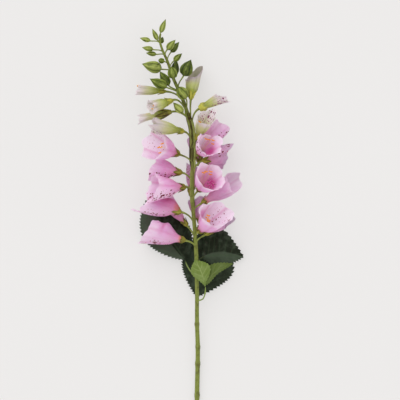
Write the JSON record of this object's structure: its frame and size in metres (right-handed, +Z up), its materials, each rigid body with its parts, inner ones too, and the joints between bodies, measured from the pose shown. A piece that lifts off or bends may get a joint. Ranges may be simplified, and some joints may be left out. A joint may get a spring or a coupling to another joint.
{
  "type": "foxglove flower spike",
  "caption": "Cut foxglove flower spike lying on its back: a slim stem with tubular bell flowers, a tapering tip of buds and broad toothed leaves.",
  "frame": {"origin": "on the table under the middle of the spike's outline as it lies on its back", "axes": "+Y up the spike from the cut end of the stem to the tip, +X to the spike's right as seen from above, +Z up from the table"},
  "size_m": [0.1512, 0.5472, 0.0896],
  "materials": {
    "stem_green": "satin olive green, finely ribbed along its length",
    "bud_green": "satin leaf green with darker ribs",
    "calyx_green": "matt yellow green",
    "bell_pink": "matt orchid pink, paler at the lip, spotted maroon in the throat",
    "bell_mauve": "matt mauve pink, paler at the lip",
    "bell_pale": "matt cream shading to green at the neck",
    "leaf_dark": "matt very dark green with a faint grey sheen and pressed veins",
    "leaf_light": "matt light green with pressed veins",
    "stamen_orange": "pale threads with matt orange pollen heads, inside the bells"
  },
  "bodies": {
    "root": {"bell_back_1": "bell_mauve", "bell_back_2": "bell_mauve", "bell_back_3": "bell_mauve", "bell_left_1": "bell_pink", "bell_left_2": "bell_pink", "bell_left_3": "bell_pink", "bell_left_4": "bell_pink", "bell_left_5": "bell_mauve", "bell_left_6": "bell_pink", "bell_right_1": "bell_mauve", "bell_right_2": "bell_pink", "bell_right_3": "bell_mauve", "bell_right_4": "bell_pink", "bell_right_5": "bell_pink", "bell_right_6": "bell_pink", "bell_right_7": "bell_mauve", "bell_young_1": "bell_pale", "bell_young_2": "bell_pale", "bell_young_3": "bell_pale", "bell_young_4": "bell_pale", "bell_young_5": "bell_pale", "bell_young_6": "bell_pale", "bell_young_7": "bell_pale", "bud_front_1": "bud_green", "bud_front_2": "bud_green", "bud_left_1": "bud_green", "bud_left_2": "bud_green", "bud_left_3": "bud_green", "bud_right_1": "bud_green", "bud_right_2": "bud_green", "calyx_back_1": "calyx_green", "calyx_back_2": "calyx_green", "calyx_back_3": "calyx_green", "calyx_left_1": "calyx_green", "calyx_left_2": "calyx_green", "calyx_left_3": "calyx_green", "calyx_left_4": "calyx_green", "calyx_left_5": "calyx_green", "calyx_left_6": "calyx_green", "calyx_right_1": "calyx_green", "calyx_right_2": "calyx_green", "calyx_right_3": "calyx_green", "calyx_right_4": "calyx_green", "calyx_right_5": "calyx_green", "calyx_right_6": "calyx_green", "calyx_right_7": "calyx_green", "calyx_young_1": "calyx_green", "calyx_young_2": "calyx_green", "calyx_young_3": "calyx_green", "calyx_young_4": "calyx_green", "calyx_young_5": "calyx_green", "calyx_young_6": "calyx_green", "calyx_young_7": "calyx_green", "leaf_left": "leaf_dark", "leaf_low": "leaf_dark", "leaf_right": "leaf_dark", "leaf_small": "leaf_light", "stem": "stem_green"}
  },
  "joints": []
}
